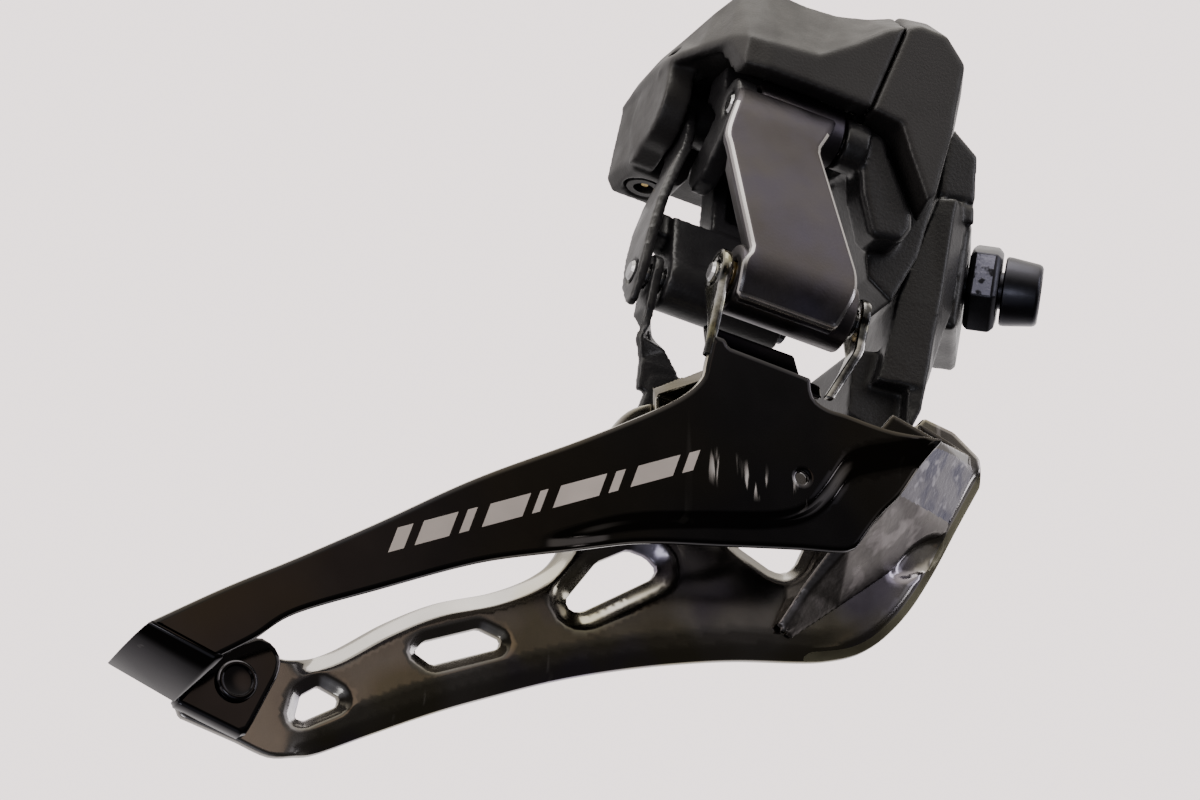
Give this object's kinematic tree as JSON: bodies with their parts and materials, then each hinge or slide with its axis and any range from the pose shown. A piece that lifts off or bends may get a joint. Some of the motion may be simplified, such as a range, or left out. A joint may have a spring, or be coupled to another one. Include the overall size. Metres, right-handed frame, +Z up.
{
  "type": "front derailleur",
  "caption": "Bicycle front derailleur with an electric drive housing, swinging parallelogram links and a pressed-plate chain cage.",
  "frame": {"origin": "axis of the clamp bolt, at the bracket's mounting face", "axes": "+X forward along the chain cage, +Y inboard towards the bicycle's frame, +Z up"},
  "size_m": [0.1215, 0.0429, 0.1018],
  "materials": {
    "black_chrome": "glossy black-nickel plating on pressed steel",
    "dark_chrome": "glossy smoked chrome plating on pressed steel, scuffed",
    "satin_link": "satin grey anodised, polished edge bevels",
    "black_cast": "semi-matte black coated casting",
    "black_plastic": "fine-grained moulding",
    "steel": "bright turned steel",
    "black_steel": "black oxide",
    "brass": "plain bearing brass",
    "circuit_green": "solder-masked laminate"
  },
  "bodies": {
    "bracket": {"base_bracket": "black_cast", "motor_housing": "black_plastic", "motor_end_cover": "black_plastic", "housing_screw_1": "steel", "housing_screw_2": "steel", "drive_motor": "steel", "circuit_board": "circuit_green", "position_sensor": "black_plastic", "port_socket": "black_plastic", "port_contact": "brass", "clamp_bolt": "black_steel", "clamp_washer": "black_steel", "outer_link_upper_pin": "steel", "shaft_bush_front": "brass", "shaft_bush_rear": "brass"},
    "outer_arm": {"outer_link": "satin_link", "outer_link_upper_bush": "brass", "outer_link_lower_bush": "brass"},
    "cage": {"outer_plate": "black_chrome", "inner_plate": "dark_chrome", "tail_rivet": "black_chrome", "nose_bridge": "dark_chrome", "nose_rivet_upper": "steel", "nose_rivet_lower": "steel", "roof_bridge": "dark_chrome", "roof_rivet_rear": "steel", "roof_rivet_front": "steel", "guide_arm": "black_cast", "outer_link_lower_pin": "steel"},
    "inner_arm": {"inner_link": "black_cast", "inner_link_lower_pin": "steel", "lower_pin_clip": "black_steel", "saver_spring": "steel", "drive_shaft": "steel", "output_gear": "brass"},
    "worm": {"motor_worm": "steel"},
    "cross": {"cross_shaft": "steel"},
    "support": {"support_bolt": "black_steel"},
    "adjuster": {"stroke_adjust_bolt": "black_steel"}
  },
  "joints": [
    {"name": "outer_link_swing", "type": "hinge", "parent": "bracket", "child": "outer_arm", "pos_m": [-0.03, -0.0153, 0.011], "axis": [-0.9755, 0, 0.2198], "range_deg": [-2, 22]},
    {"name": "cage_pivot", "type": "hinge", "parent": "outer_arm", "child": "cage", "pos_m": [-0.0358, -0.02491, -0.01476], "axis": [-0.9755, 0, 0.2198], "range_deg": [-22, 2]},
    {"name": "inner_link_swing", "type": "hinge", "parent": "bracket", "child": "inner_arm", "pos_m": [-0.0293, -0.0017, 0.01412], "axis": [-0.9755, 0, 0.2198], "range_deg": [-2, 22]},
    {"name": "cross_shaft_spin", "type": "hinge", "parent": "bracket", "child": "cross", "pos_m": [-0.03957, 0, 0.02177], "axis": [0, 1, 0], "range_deg": [-30, 330]},
    {"name": "motor_worm_spin", "type": "hinge", "parent": "bracket", "child": "worm", "pos_m": [-0.02881, 0.0072, 0.01627], "axis": [0.9755, 0, -0.2198], "range_deg": [-120, 1320]},
    {"name": "support_bolt_travel", "type": "slide", "parent": "bracket", "child": "support", "axis": [0, 1, 0], "range_m": [-0.003, 0.003]},
    {"name": "stroke_adjust_travel", "type": "slide", "parent": "bracket", "child": "adjuster", "axis": [0, 1, 0], "range_m": [-0.0006, 0.0015]}
  ],
  "couplings": [
    {"joint": "cage_pivot", "follows": "outer_link_swing", "ratio": -1},
    {"joint": "inner_link_swing", "follows": "outer_link_swing", "ratio": 1},
    {"joint": "cross_shaft_spin", "follows": "outer_link_swing", "ratio": 15},
    {"joint": "motor_worm_spin", "follows": "outer_link_swing", "ratio": 60}
  ]
}
